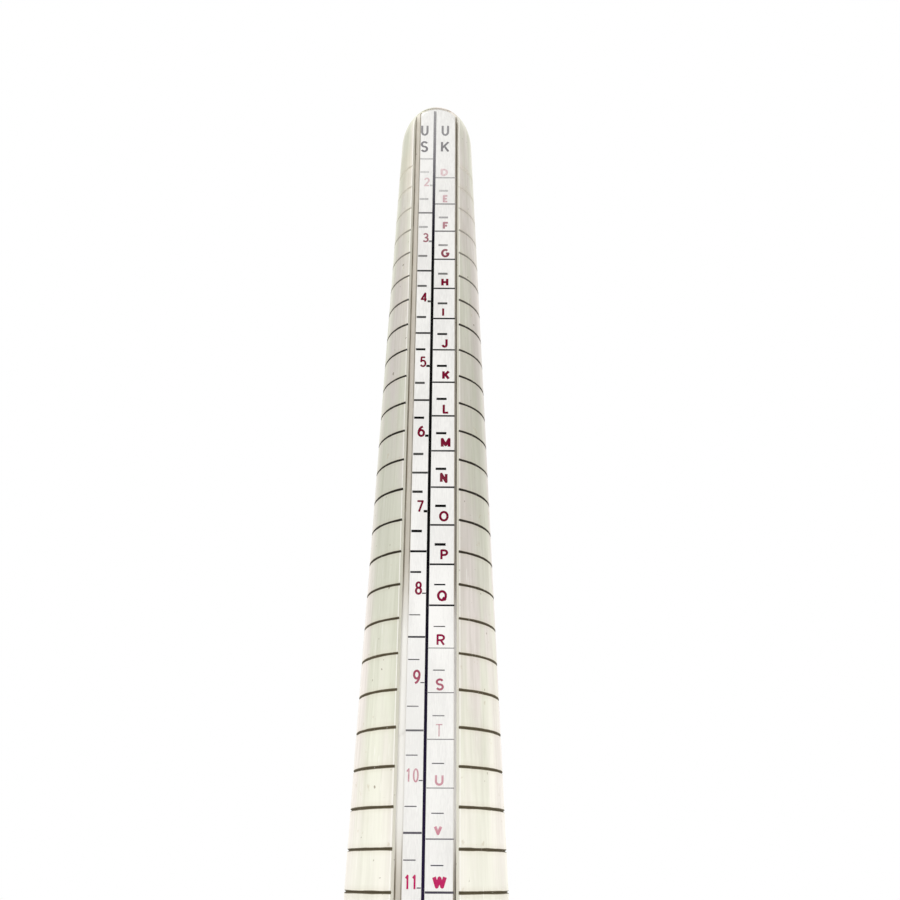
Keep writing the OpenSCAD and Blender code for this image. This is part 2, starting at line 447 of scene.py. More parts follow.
def barrel_finish():
    """Turned aluminium with lengthwise streaks, tarnish, dark grooves, a dirty channel with painted shade in
    its corners and along the strips, and painted highlights towards the grip and along the channels' edges.
    """
    ink, size = colours(), sizes()
    finish = Finish("barrel aluminium", Anisotropic=0.35)
    noise = finish.noise
    x, y, z = finish.axes()
    off_x = abs(x)
    squares = x * x + y * y
    below = first_groove_z() - z
    first_radius = size.first_size * MM / (2 * math.pi)
    crown = below * taper() + first_radius
    shaft = below.ramp(-size.dome_start - 5 * MM, -size.dome_start - 2 * MM)

    # Streaks along the barrel, faint pink and green tints, a painted highlight towards the grip, and tarnish
    broad = noise((260, 260, 18), 4.0, 0.6)
    fine = noise((2600, 2600, 45), 3.0, 0.6)
    streak = broad * 0.65 + fine * 0.35
    finish.base(streak.ramp(0.36, 0.62), ink.aluminium_dark, ink.aluminium_light)
    cast = noise((190, 190, 20), 3.0, 0.55, (2.0, 8.0, 3.0)).ramp(0.38, 0.62)
    finish.coat(1.0, finish.mix(cast, ink.cast_pink, ink.cast_green), "MULTIPLY")
    # Painted highlight: the barrel is painted lighter towards the grip
    finish.coat(below.ramp(*BARREL_HIGHLIGHT, 0.0, 0.5), ink.aluminium_clean)
    patch = noise((95, 95, 60), 5.0, 0.62).ramp(0.52, 0.78, 0.0, 0.34)
    spots = noise((700, 700, 620), 3.0, 0.6, (1.0, 5.0, 0.0)).ramp(0.66, 0.74)
    stain = larger(patch, spots * 0.45)
    finish.coat(stain, ink.tarnish)

    # Grooves, dark where dirt sits in them and paler where rings have rubbed near the tip
    turns = below / size.groove_pitch
    distance = abs(turns - turns.rounded()) * size.groove_pitch
    half = noise((420, 420, 900), 2.0).ramp(0.3, 0.7, 0.86, 1.1) * (size.groove_width / 2)
    line = 1.0 - (distance / half).ramp(0.75, 1.05)
    scale_length = (size.last_size - size.first_size + 0.5) * size.groove_pitch
    within = (below < scale_length) * (below > -size.groove_pitch / 2)
    outside = within * (off_x > size.channel_half + 0.3 * MM)
    groove = line * outside * below.ramp(*RUBBED_GROOVES, 0.02, 1.0)
    halo = distance.ramp(*mm(0.2, 0.9), 0.2, 0.0) * outside
    finish.coat(halo, ink.tarnish)

    # The broken edges of the channels are dull, with a painted highlight as a bright line along the crown
    # Painted highlight: a bright line where the chamfer meets the crown
    edge_x = crown * 0.02 + (size.channel_half + 0.27 * MM)
    edge_highlight = abs(off_x - edge_x).ramp(*mm(0.03, 0.11), 1.0, 0.0) * shaft
    broken = (crown - squares.root()).ramp(*mm(0.03, 0.1)) * shaft
    broken = broken * (off_x < edge_x) * (off_x > size.channel_half + 0.03 * MM)
    finish.coat(broken * 0.8, ink.broken_edge)
    finish.coat(edge_highlight * 0.8, ink.rubbed_edge)

    # Floor and walls of the channels, inside the dome's round end, with painted shade in the corners and
    # along the strip, and a painted highlight on the floor towards the grip
    sunk = crown - abs(y)
    inside = (off_x < size.channel_half + 0.02 * MM) * sunk.ramp(*mm(0.9, 1.3))
    inside = inside * (sunk < size.channel_depth + 0.05 * MM)
    rise = larger(-size.dome_start - below, 0.0) / (size.tip_length - size.dome_start)
    inside = inside * (squares / (crown * crown) + rise * rise < 0.985)
    # Painted highlight on the channel floor towards the grip, where the painted shade fades too
    painted_light = handled(below, CHANNEL_HIGHLIGHT)
    finish.coat(inside * 0.85, finish.mix(painted_light, ink.channel_floor, ink.channel_clean))
    # Painted shade, mottled and weaker towards the grip: at the foot of the channel's walls and along the
    # foot of each strip's left edge
    shade_mottle = (1.0 - painted_light * 0.85) * noise((900, 900, 160)).ramp(0.3, 0.6, 0.55, 1.0)
    corner = (size.channel_half - off_x).ramp(*mm(0.04, 0.22), 1.0, 0.0) * inside
    finish.coat(corner * shade_mottle, ink.channel_corner)
    from_strip = abs(x * y.sign() - size.strip_left)
    foot = from_strip.ramp(*mm(0.06, 0.18), 1.0, 0.0) * inside
    finish.coat(foot * shade_mottle, ink.channel_corner)
    finish.coat(groove, finish.mix(below.ramp(*PALE_GROOVES), ink.groove_dark, ink.groove_ink))

    # Specks and scratches; dirt, oxide and dull edges reflect less than bare metal
    specks = noise((1300, 1300, 1100), 1.0, 0.5, (7.0, 2.0, 4.0)).ramp(0.755, 0.80)
    finish.coat(specks * 0.7, ink.channel_corner)
    scratch = noise((3300, 3300, 240), 1.0, 0.5, (3.0, 1.0, 7.0)).ramp(0.70, 0.76)
    finish.coat(scratch * 0.5, ink.rubbed_edge)
    rough = streak.ramp(0.3, 0.7, 0.40, 0.28) + stain * 0.3
    dull = larger(groove, inside * finish.blend(painted_light, 0.75, 0.2))
    dull = larger(larger(dull, broken * 0.6), edge_highlight * 0.5)
    turned = noise((300, 300, 14000), 2.0)
    return finish.done(
        Roughness=finish.blend(groove, rough, 0.75),
        Metallic=1.0 - dull,
        Normal=finish.bump(turned * 0.5 + fine * 0.5, 0.006 * MM, 0.5),
    )


def strip_finish():
    """Satin aluminium with a fine lengthwise grain and painted shade along its edges."""
    ink, size = colours(), sizes()
    finish = Finish("strip aluminium", Anisotropic=0.2)
    grain = finish.noise((5200, 5200, 900), 3.0, 0.6)
    cloud = finish.noise((180, 180, 70), 4.0)
    shade = grain * 0.5 + cloud * 0.5
    finish.base(shade.ramp(0.38, 0.6), shaded(ink.strip, 0.9), ink.strip)
    x, y, z = finish.axes()
    across = x * y.sign()
    # Painted shade along both edges of the strip, mottled, and weaker towards the grip where light is painted
    left = (size.strip_left - across).ramp(*mm(0.0, 0.12), 0.8, 0.0)
    right = (across + size.strip_right).ramp(*mm(0.06, 0.16), 0.9, 0.0)
    edge = larger(left, right) * cloud.ramp(0.35, 0.55, 0.75, 1.0)
    painted_light = handled(first_groove_z() - z, STRIP_SHADE_FADES)
    finish.coat(edge * (1.0 - painted_light * 0.6), ink.channel_corner)
    return finish.done(
        Metallic=cloud.ramp(0.3, 0.7, 0.55, 0.68),
        Roughness=grain.ramp(0.3, 0.7, 0.32, 0.46),
        Normal=finish.bump(grain, 0.004 * MM, 0.4),
    )


def ink_finish(name, ink, aged, fade, tip_wear, held_wear, patchy=0.0, even=0.9):
    """Matt printed ink that ages towards another colour and wears off, mostly evenly, a little in specks."""
    finish = Finish(name, Specular_IOR_Level=0.04)
    below = first_groove_z() - finish.axes()[2]
    grit = finish.noise((4200, 4200, 3000), 4.0, 0.7)
    patch = finish.noise((160, 160, 210), 2.0, 0.5, (4.0, 2.0, 9.0))
    tip = below.ramp(*mm(*fade), tip_wear, 0.0)
    worn = handled(below, HELD_PRINT) * held_wear + patch.ramp(0.5, 0.68, 0.0, patchy)
    loss = finish.calc("ADD", tip, worn, clamp=True)
    specks = (grit - loss * 0.36).ramp(0.24, 0.36)
    cover = finish.blend(even, specks, 1.0 - loss)
    age = larger(below.ramp(*AGED_PRINT), below.ramp(*AGED_TIP, 0.75, 0.0))
    finish.base(cover, colours().strip, finish.mix(age, ink, aged))
    return finish.done(Roughness=grit.ramp(0.3, 0.7, 0.45, 0.7))


def tape_finish():
    """Pale double-sided tape, a little cloudy."""
    tape = colours().tape
    finish = Finish("bonding tape")
    cloud = finish.noise((900, 900, 500), 4.0)
    finish.base(cloud, shaded(tape, 0.88), tape)
    return finish.done(Roughness=cloud.ramp(0.3, 0.7, 0.6, 0.8))


def turned_metal(name, base, roughness, patina=0.25, pin_z=None):
    """Metal turned on a lathe: rings of tool marks and patina, with painted shade round pins at height pin_z.
    """
    finish = Finish(name, Metallic=1.0, Anisotropic=0.4)
    x, y, z = finish.axes()
    reach = (x * x + y * y).root()
    rings = finish.noise((5200, 1, 5200), 3.0, 0.6, at=finish.point(reach, z=z))
    cloud = finish.noise((130, 130, 130), 4.0, 0.6)
    finish.base(rings, shaded(base, 0.9), shaded(base, 1.07))
    aged = cloud.ramp(0.42, 0.72, 0.0, patina)
    # Painted shade: a dark ring round the head of each pin
    if pin_z is not None:
        rise = z - pin_z
        from_pin = (y * y + rise * rise).root()
        head = sizes().brad_head
        aged = larger(aged, from_pin.ramp(head, head + 0.4 * MM, 0.6, 0.0))
    finish.coat(aged, shaded(base, 0.55, 0.48, 0.42))
    rough = rings.ramp(0.3, 0.7, roughness - 0.05, roughness + 0.07)
    return finish.done(
        Roughness=rough + cloud.ramp(0.4, 0.75, 0.0, 0.12), Normal=finish.bump(rings, 0.008 * MM, 0.6)
    )


def steel_finish():
    """Bright zinc on steel, with a crystalline mottle."""
    ink = colours()
    finish = Finish("zinc steel", Metallic=1.0)
    cells = finish.value("ShaderNodeTexVoronoi", {"Vector": finish.place, "Scale": 900.0}, "Distance")
    mottle = finish.noise((700, 700, 700), 4.0)
    finish.base(cells, ink.steel, shaded(ink.steel, 1.2))
    finish.coat(mottle.ramp(0.5, 0.75, 0.0, 0.3), ink.steel_dull)
    return finish.done(Roughness=mottle.ramp(0.3, 0.7, 0.25, 0.42))


def wood_finish():
    """Oiled beech: growth rings round a pith beside the grip, short dark flecks, and fine pores."""
    ink = colours()
    finish = Finish("oiled beech", Coat_Weight=0.15, Coat_Roughness=0.3)
    noise = finish.noise
    x, y, z = finish.axes()
    off_x = x + PITH[0] + (noise((14, 14, 7), 2.0) - 0.5) * 0.03
    off_y = y - PITH[1] + z * 0.06
    rings = (off_x * off_x + off_y * off_y).root() * (1 / GROWTH_RING)
    wobble = noise((700, 700, 60), 3.0, 0.6)
    ring = (rings + wobble * 0.7).fraction()
    late = ring.ramp(0.15, 0.9) * ring.ramp(0.93, 1.0, 1.0, 0.0)
    fibre = noise((2600, 2600, 70), 4.0, 0.65)
    cloud = noise((60, 60, 22))
    pores = noise((7000, 7000, 480), 1.0).ramp(0.60, 0.68)
    flecks = noise((1700, 5200, 420), 1.0, 0.5, (5.0, 0.0, 2.0)).ramp(0.62, 0.69)
    shade = finish.calc("ADD", late * 0.42 + fibre * 0.45, cloud * 0.25, clamp=True)
    finish.base(shade.ramp(0.2, 0.95), ink.wood_light, ink.wood_mid)
    finish.coat(larger(pores * 0.35, flecks * 0.6), ink.wood_dark)
    return finish.done(
        Roughness=fibre.ramp(0.3, 0.7, 0.40, 0.54),
        Normal=finish.bump(fibre * 0.4 - larger(pores, flecks), 0.03 * MM, 0.5),
    )


# ------------------------------------------------------------------ what repeats


class Grower(Nodes):
    """A Geometry Nodes tree that repeats a shape; its inputs are a count, a finish and named lengths."""

    KINDS = {"Count": "NodeSocketInt", "Finish": "NodeSocketMaterial"}

    def __init__(self, name, *lengths):
        super().__init__(bpy.data.node_groups.new(name, "GeometryNodeTree"))
        face = self.tree.interface
        face.new_socket(name="Geometry", in_out="OUTPUT", socket_type="NodeSocketGeometry")
        self.sockets = {}
        for label in (*self.KINDS, *lengths):
            kind = self.KINDS.get(label, "NodeSocketFloat")
            socket = face.new_socket(name=label, in_out="INPUT", socket_type=kind)
            if label in lengths:
                socket.default_value = MM
            self.sockets[label] = socket.identifier
        outputs = self.add("NodeGroupInput").outputs
        self.given = {label: Value(self, outputs[label]) for label in self.sockets}

    def repeat(self, points, shape, **placing):
        """Ends the tree: a copy of the shape on each point, made real and given the finish."""
        copies = self.value("GeometryNodeInstanceOnPoints", {"Points": points, "Instance": shape, **placing})
        real = self.value("GeometryNodeRealizeInstances", {"Geometry": copies})
        finish = {"Geometry": real, "Material": self.given["Finish"]}
        self.add("NodeGroupOutput", {"Geometry": self.value("GeometryNodeSetMaterial", finish)})

    def grow(self, values):
        """The plain mesh that the tree makes from these inputs."""
        blank = bpy.data.meshes.new("grown")
        holder = new_object("grown", blank)
        modifier = holder.modifiers.new("grown", "NODES")
        modifier.node_group = self.tree
        for name, value in values.items():
            modifier[self.sockets[name]] = value
        seen = holder.evaluated_get(bpy.context.evaluated_depsgraph_get())
        mesh = bpy.data.meshes.new_from_object(seen)
        bpy.data.objects.remove(holder)
        bpy.data.meshes.remove(blank)
        return mesh


def tick_tree():
    """A row of equal ticks up a strip, in its u, v and w, which is worn thin over part of its height."""
    tree = Grower(
        "Tick row", "Start", "Pitch", "Left", "Length", "Thickness", "Relief",
        "Worn Thickness", "Worn Start", "Worn Full", "Sound Start", "Sound Full",
    )
    given = tree.given
    middle = given["Left"] + given["Length"] * 0.5
    ends = {"Start Location": tree.point(middle, given["Start"]), "Offset": tree.point(y=given["Pitch"])}
    points = tree.value("GeometryNodeMeshLine", {"Count": given["Count"], **ends})
    size = tree.point(given["Length"], given["Thickness"], given["Relief"] * 2.0)
    block = tree.value("GeometryNodeMeshCube", {"Size": size})
    height = tree.split(tree.value("GeometryNodeInputPosition"))[1]
    entered = height.ramp(given["Worn Start"], given["Worn Full"])
    ended = height.ramp(given["Sound Start"], given["Sound Full"], 1.0, 0.0)
    worn = tree.blend(entered * ended, 1.0, given["Worn Thickness"])
    tree.repeat(points, block, Scale=tree.point(1.0, worn, 1.0))
    return tree


def brad_head_tree():
    """Domed heads spaced evenly round a cylinder, facing outwards."""
    tree = Grower("Brad heads", "Reach", "Height", "Radius", "Rise")
    given = tree.given
    turn = tree.value("GeometryNodeInputIndex") * (2 * math.pi) / given["Count"]
    ahead = tree.calc("COSINE", turn) * given["Reach"]
    aside = tree.calc("SINE", turn) * given["Reach"]
    row = tree.value("GeometryNodeMeshLine", {"Count": given["Count"]})
    spots = {"Geometry": row, "Position": tree.point(ahead, aside, given["Height"])}
    points = tree.value("GeometryNodeSetPosition", spots)
    outward = {"Vector": tree.point(ahead, aside)}
    facing = tree.value("FunctionNodeAlignRotationToVector", outward, axis="Z")
    ball = {"Segments": HEAD_SIDES, "Rings": HEAD_SIDES // 2, "Radius": 1.0}
    smooth = {"Geometry": tree.value("GeometryNodeMeshUVSphere", ball)}
    head = tree.value("GeometryNodeSetShadeSmooth", smooth)
    scale = tree.point(given["Radius"], given["Radius"], given["Rise"])
    tree.repeat(points, head, Rotation=facing, Scale=scale)
    return tree


def add_piece(name, mesh):
    """Makes a mesh a piece of the mandrel's one body."""
    mesh.name = name
    piece = new_object(name, mesh)
    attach(piece, BODY)


def set_brad_heads(metal):
    """Domed heads over the two brads that pin the ferrule."""
    low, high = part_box("ferrule_brads")
    mesh = brad_head_tree().grow({
        "Count": 2,
        "Finish": metal,
        "Reach": high.x - HEAD_SUNK,
        "Height": (low.z + high.z) / 2,
        "Radius": sizes().brad_head,
        "Rise": sizes().brad_rise,
    })
    add_piece("brad_heads", mesh)


# ------------------------------------------------------------------ signs


def arc(middle_x, middle_y, wide, tall, start, end):
    """Points on an elliptical arc, from the start to the end angle in degrees."""
    count = max(2, round(abs(end - start) / 20))
    turns = [math.radians(start + (end - start) * step / count) for step in range(count + 1)]
    return [(middle_x + wide * math.cos(turn), middle_y + tall * math.sin(turn)) for turn in turns]


# Pen strokes of each sign in a box one unit wide and high, and the width of that box over its height
BOWL = [(0, 0), (0, 1), *arc(0.5, 0.74, 0.5, 0.26, 90, -90), (0, 0.48)]
RING = arc(0.5, 0.5, 0.5, 0.5, 0, 360)
SIX = [arc(0.5, 0.31, 0.5, 0.31, 0, 360), arc(0.92, 0.31, 0.92, 0.69, 180, 98)]
SIGNS = {
    "0": (0.50, [RING]),
    "1": (0.40, [[(0.0, 0.8), (0.6, 1), (0.6, 0)]]),
    "2": (0.50, [[*arc(0.5, 0.71, 0.5, 0.29, 165, -20), (0, 0), (1, 0)]]),
    "3": (0.50, [[*arc(0.46, 0.75, 0.46, 0.25, 150, -90), *arc(0.46, 0.25, 0.54, 0.25, 90, -150)]]),
    "4": (0.56, [[(0.72, 0), (0.72, 1), (0, 0.28), (1, 0.28)]]),
    "5": (0.50, [[(0.92, 1), (0.14, 1), (0.06, 0.52), *arc(0.46, 0.32, 0.54, 0.32, 125, -150)]]),
    "6": (0.57, SIX),
    "7": (0.53, [[(0, 1), (1, 1), (0.32, 0)]]),
    "8": (0.50, [arc(0.5, 0.76, 0.42, 0.24, 0, 360), arc(0.5, 0.26, 0.5, 0.26, 0, 360)]),
    "9": (0.50, [[(1 - x, 1 - y) for x, y in stroke] for stroke in SIX]),
    "+": (0.50, [[(0, 0.5), (1, 0.5)], [(0.5, 0.22), (0.5, 0.78)]]),
    "D": (0.76, [[(0, 0), (0, 1), *arc(0.42, 0.5, 0.58, 0.5, 90, -90), (0, 0)]]),
    "E": (0.56, [[(1, 1), (0, 1), (0, 0), (1, 0)], [(0, 0.5), (0.85, 0.5)]]),
    "F": (0.62, [[(1, 1), (0, 1), (0, 0)], [(0, 0.5), (0.82, 0.5)]]),
    "G": (0.82, [[*arc(0.5, 0.5, 0.5, 0.5, 48, 345), (1, 0.46), (0.6, 0.46)]]),
    "H": (0.68, [[(0, 0), (0, 1)], [(1, 0), (1, 1)], [(0, 0.5), (1, 0.5)]]),
    "I": (0.00, [[(0, 0), (0, 1)]]),
    "J": (0.57, [[(1, 1), *arc(0.5, 0.3, 0.5, 0.3, 0, -170)]]),
    "K": (0.71, [[(0, 0), (0, 1)], [(1, 1), (0, 0.34)], [(0.34, 0.58), (1, 0)]]),
    "L": (0.60, [[(0, 1), (0, 0), (1, 0)]]),
    "M": (0.84, [[(0, 0), (0, 1), (0.5, 0.22), (1, 1), (1, 0)]]),
    "N": (0.65, [[(0, 0), (0, 1), (1, 0), (1, 1)]]),
    "O": (0.81, [RING]),
    "P": (0.64, [BOWL]),
    "Q": (0.81, [RING, [(0.6, 0.3), (1, 0)]]),
    "R": (0.66, [BOWL, [(0.5, 0.48), (1, 0)]]),
    "S": (0.62, [[*arc(0.5, 0.75, 0.5, 0.25, 25, 270), *arc(0.5, 0.25, 0.5, 0.25, 90, -155)]]),
    "T": (0.56, [[(0, 1), (1, 1)], [(0.5, 1), (0.5, 0)]]),
    "U": (0.63, [[(0, 1), *arc(0.5, 0.34, 0.5, 0.34, 180, 360), (1, 1)]]),
    "V": (0.62, [[(0, 1), (0.5, 0), (1, 1)]]),
    "W": (1.03, [[(0, 1), (0.25, 0), (0.5, 0.85), (0.75, 0), (1, 1)]]),
    "X": (0.66, [[(0, 0), (1, 1)], [(0, 1), (1, 0)]]),
    "Y": (0.66, [[(0, 1), (0.5, 0.46), (1, 1)], [(0.5, 0.46), (0.5, 0)]]),
    "Z": (0.62, [[(0, 1), (1, 1), (0, 0), (1, 0)]]),
}
GENTLE_TURN = math.radians(35)  # a pen stroke that turns less has a mitre there, not a round
SHORTEST_STEP = 0.01  # a step shorter than this part of half the pen's width is left out
SIGN_GAP = 0.16  # between signs, over their height
SAME_PLACE = 1e-8


def pen_shapes(points, half):
    """Convex outlines that cover one pen stroke: a bar for each step, and a round at each sharp turn."""
    path = [Vector(point) for point in points]
    steps = zip(path, path[1:])
    path = path[:1] + [end for start, end in steps if (end - start).length > half * SHORTEST_STEP]
    ways = [(end - start).normalized() for start, end in zip(path, path[1:])]
    sides = [Vector((-way.y, way.x)) * half for way in ways]
    starts, ends, rounds = list(sides), list(sides), []
    for turn in range(1, len(ways)):
        if ways[turn - 1].angle(ways[turn]) < GENTLE_TURN:
            middle = (sides[turn - 1] + sides[turn]).normalized()
            ends[turn - 1] = starts[turn] = middle * (half * half / middle.dot(sides[turn]))
        else:
            rounds.append(path[turn])
    shapes = []
    for step, (start, end) in enumerate(zip(path, path[1:])):
        near, far, along = starts[step], ends[step], ways[step]
        if abs((far - near).dot(along)) >= (end - start).dot(along):
            # The curve is tighter than the pen, so this bar keeps its square ends and gets rounds
            near = far = sides[step]
            rounds += [start, end]
        shapes.append([start - near, end - far, end + far, start + near])
    for middle in rounds:
        ring = arc(middle.x, middle.y, half, half, 0, 360)[:-1]
        shapes.append([Vector(point) for point in ring])
    return shapes


def sign_shapes(sign, height, pen, width, left):
    """The outlines of one sign whose lower left corner is at left, and how wide it is."""
    ratio, strokes = SIGNS[sign]
    wide = max(0.0, ratio * width * height - pen)
    tall = height - pen
    shapes = []
    for stroke in strokes:
        shapes += pen_shapes([(left + pen / 2 + x * wide, pen / 2 + y * tall) for x, y in stroke], pen / 2)
    return shapes, wide + pen


def flat_union(shapes):
    """One flat mesh that covers all the shapes once."""
    points = [point for shape in shapes for point in shape]
    faces, first = [], 0
    for shape in shapes:
        faces.append(list(range(first, first + len(shape))))
        first += len(shape)
    points, _, faces, _, _, sources = delaunay_2d_cdt(points, [], faces, 0, SAME_PLACE)
    kept = [face for face, source in zip(faces, sources) if source]
    mesh = bpy.data.meshes.new("sign")
    mesh.from_pydata([(point.x, point.y, 0.0) for point in points], [], kept)
    return mesh


def put_in_order(items, key):
    """Sorts a form's vertices, edges or faces, because an extrusion leaves them in another order each run."""
    rank = {item: place for place, item in enumerate(sorted(items, key=key))}
    items.sort(key=rank.get)
    items.index_update()


def raised(shapes):
    """A thin slab with the outline of all the shapes, as far above the strip as below its face."""
    relief = sizes().ink_relief
    flat = flat_union(shapes)
    form = bmesh.new()
    form.from_mesh(flat)
    loose = [vertex for vertex in form.verts if not vertex.link_faces]
    bmesh.ops.delete(form, geom=loose, context="VERTS")
    bmesh.ops.dissolve_limit(form, angle_limit=0.01, verts=form.verts[:], edges=form.edges[:])
    bmesh.ops.triangulate(form, faces=form.faces[:])
    grown = bmesh.ops.extrude_face_region(form, geom=form.faces[:])
    lifted = {item for item in grown["geom"] if isinstance(item, bmesh.types.BMVert)}
    for vertex in form.verts:
        vertex.co.z = relief if vertex in lifted else -relief
    bmesh.ops.recalc_face_normals(form, faces=form.faces[:])
    put_in_order(form.verts, lambda vertex: vertex.co[:])
    put_in_order(form.edges, lambda edge: sorted(vertex.index for vertex in edge.verts))
    put_in_order(form.faces, lambda face: sorted(vertex.index for vertex in face.verts))
    form.to_mesh(flat)
    form.free()
    return flat


# ------------------------------------------------------------------ printed scales


class Print:
    """Collects marks of one ink on one strip and makes them one piece."""

    def __init__(self, name, face, ink, slot):
        self.name, self.face, self.ink, self.slot = name, face, ink, slot
        self.form = bmesh.new()

    def add(self, mesh, u=0.0, v=0.0):
        mesh.transform(Matrix.Translation((u, v, 0.0)))
        self.form.from_mesh(mesh)
        bpy.data.meshes.remove(mesh)

    def text(self, text, height, u, v, pen, align=0.0, width=1.0):
        """Prints text with its base at v; align 0, 0.5 or 1 puts u at its left, middle or right."""
        shapes, reach = [], 0.0
        for sign in text:
            drawn, wide = sign_shapes(sign, height, pen, width, reach)
            shapes += drawn
            reach += wide + SIGN_GAP * height
        self.add(raised(shapes), u - align * (reach - SIGN_GAP * height), v)

    def finish(self):
        mesh = bpy.data.meshes.new(self.name)
        self.form.to_mesh(mesh)
        self.form.free()
        mesh.transform(self.face.matrix)
        mesh.materials.append(self.ink)
        for face in mesh.polygons:
            face.material_index = 0
        add_piece(self.name, mesh)


# Sizes on the strips
US_SIZES = range(2, 16)
JP_SIZES = range(1, 34)
UK_SIZES = (*"DEFGHIJKLMNOPQRSTUVWXYZ", "+1", "+2", "+3", "+4", "+5", "+6")

# How far full lines stay from the strip's left and right edge
MARGINS = mm(0.06, 0.02)
# Both ends of short ticks: US from the strip's left edge, UK from the divider, rear from either edge
US_TICK, UK_TICK, REAR_TICK = mm(0.15, 1.62), mm(0.64, 2.16), mm(0.15, 1.0)
# The stub left of the divider at each whole US size, and how far the number's foot lies below it
US_STUB, US_DROP = mm(0.5, 0.18)
# Height and width of US numbers of one and of two digits, over the usual, and strokes that wear has changed
US_ONE, US_TWO = (1.0, 1.04), (0.88, 0.86)
US_PENS = {4: 0.31, 6: 0.34, 9: 0.28, 10: 0.19, 11: 0.23}
# Each letter's place is listed one by one: how far right of the divider and above its line it starts, how
# tall it is and how thick its strokes are, in mm, from D on, and then the same for all that follow
UK_PLACES = (
    (0.85, 0.40, 1.62, 0.39), (1.28, 0.35, 1.62, 0.36), (1.31, 0.35, 1.62, 0.39), (1.08, 0.40, 1.72, 0.38),
    (1.16, 0.40, 1.69, 0.39), (1.35, 0.40, 1.69, 0.33), (1.30, 0.40, 1.72, 0.37), (1.45, 0.45, 1.69, 0.40),
    (1.57, 0.40, 1.69, 0.34), (1.35, 0.50, 1.65, 0.43), (1.27, 0.68, 1.62, 0.40), (1.20, 0.55, 1.62, 0.33),
    (1.44, 0.62, 1.60, 0.31), (1.04, 0.60, 1.56, 0.33), (1.05, 0.34, 1.56, 0.27), (1.01, 0.32, 1.56, 0.27),
    (1.02, 0.34, 1.58, 0.13), (1.04, 0.32, 1.36, 0.26), (0.96, 0.50, 1.12, 0.34), (0.84, 0.48, 1.46, 0.46),
)
UK_OTHER = (1.1, 0.4, 1.5, 0.3)
# The rear strip: its divider, and its numbers' height, how far they stand above their lines and left of it
REAR_DIVIDER, REAR_TALL, REAR_LIFT, REAR_GAP = mm(2.95, 1.5, 0.45, 0.4)
# Columns and heights of the headings, above the first groove
US_HEADING, UK_HEADING = mm(0.76, 1.60)
FRONT_HEADINGS, REAR_HEADINGS = mm(-8.3, -4.45), mm(-9.6, -6.4)
HEADING_WIDTH = 0.82
# Thickness of lines and rear ticks over that of the US lines and front ticks, and what handling leaves of it
FINE = 0.8
WORN_LINE, WORN_UK_LINE, WORN_TICK = 0.75, 0.38, 0.32
DIVIDER_END = 0.15 * MM


class Scale:
    """One printed strip: its face, the pieces of its inks and the divider between its columns."""

    SLOTS = {"lines": "mark_black", "ticks": "mark_black", "sizes": "mark_red", "headings": "mark_black"}

    def __init__(self, name, inks, tree, divider_left):
        self.face = StripFace(name + "_strip")
        self.tree = tree
        self.prints = {
            part: Print(f"{name}_{part}", self.face, inks[part], slot) for part, slot in self.SLOTS.items()
        }
        self.text = self.prints["sizes"].text
        self.left = divider_left
        self.right = divider_left + sizes().divider_width
        self.divider()

    def divider(self):
        """Prints the line between the columns, which handling has narrowed towards the grip."""
        size, face = sizes(), self.face
        middle = (self.left + self.right) / 2
        full, worn = size.divider_width / 2, size.divider_worn / 2
        narrows, narrow = NARROW_DIVIDER
        stations = ((face.v_at(-size.divider_top), full), (face.v_at(narrows), full))
        stations += ((face.v_at(narrow), worn), (DIVIDER_END, worn))
        shapes = []
        for (high, above), (low, below) in zip(stations, stations[1:]):
            sides = ((-below, low), (below, low), (above, high), (-above, high))
            shapes.append([Vector((middle + side, v)) for side, v in sides])
        self.prints["headings"].add(raised(shapes))

    def row(self, part, zone, count, start, pitch, left, right, thickness, worn):
        """Prints a row of ticks between two places across the strip."""
        thins, thin, thickens, thick = (self.face.v_at(travel) for travel in zone)
        part.add(self.tree.grow({
            "Count": count, "Finish": part.ink,
            "Start": start, "Pitch": -pitch, "Left": left, "Length": right - left,
            "Thickness": thickness, "Relief": sizes().ink_relief,
            "Worn Thickness": worn, "Worn Start": thins, "Worn Full": thin,
            "Sound Start": thickens, "Sound Full": thick,
        }))

    def full_lines(self, count, start, pitch, left, right, thickness, worn=WORN_LINE):
        self.row(self.prints["lines"], THIN_LINES, count, start, pitch, left, right, thickness, worn)

    def ticks(self, count, start, pitch, left, right, thickness):
        self.row(self.prints["ticks"], THIN_TICKS, count, start, pitch, left, right, thickness, WORN_TICK)

    def headings(self, columns, travels):
        """Prints each heading with one letter above the other."""
        tall, pen = sizes().heading_height, sizes().heading_pen
        for heading, u in columns:
            for letter, travel in zip(heading, travels):
                v = self.face.v_at(travel) - tall / 2
                self.prints["headings"].text(letter, tall, u, v, pen, 0.5, HEADING_WIDTH)

    def finish(self):
        for part in self.prints.values():
            part.finish()


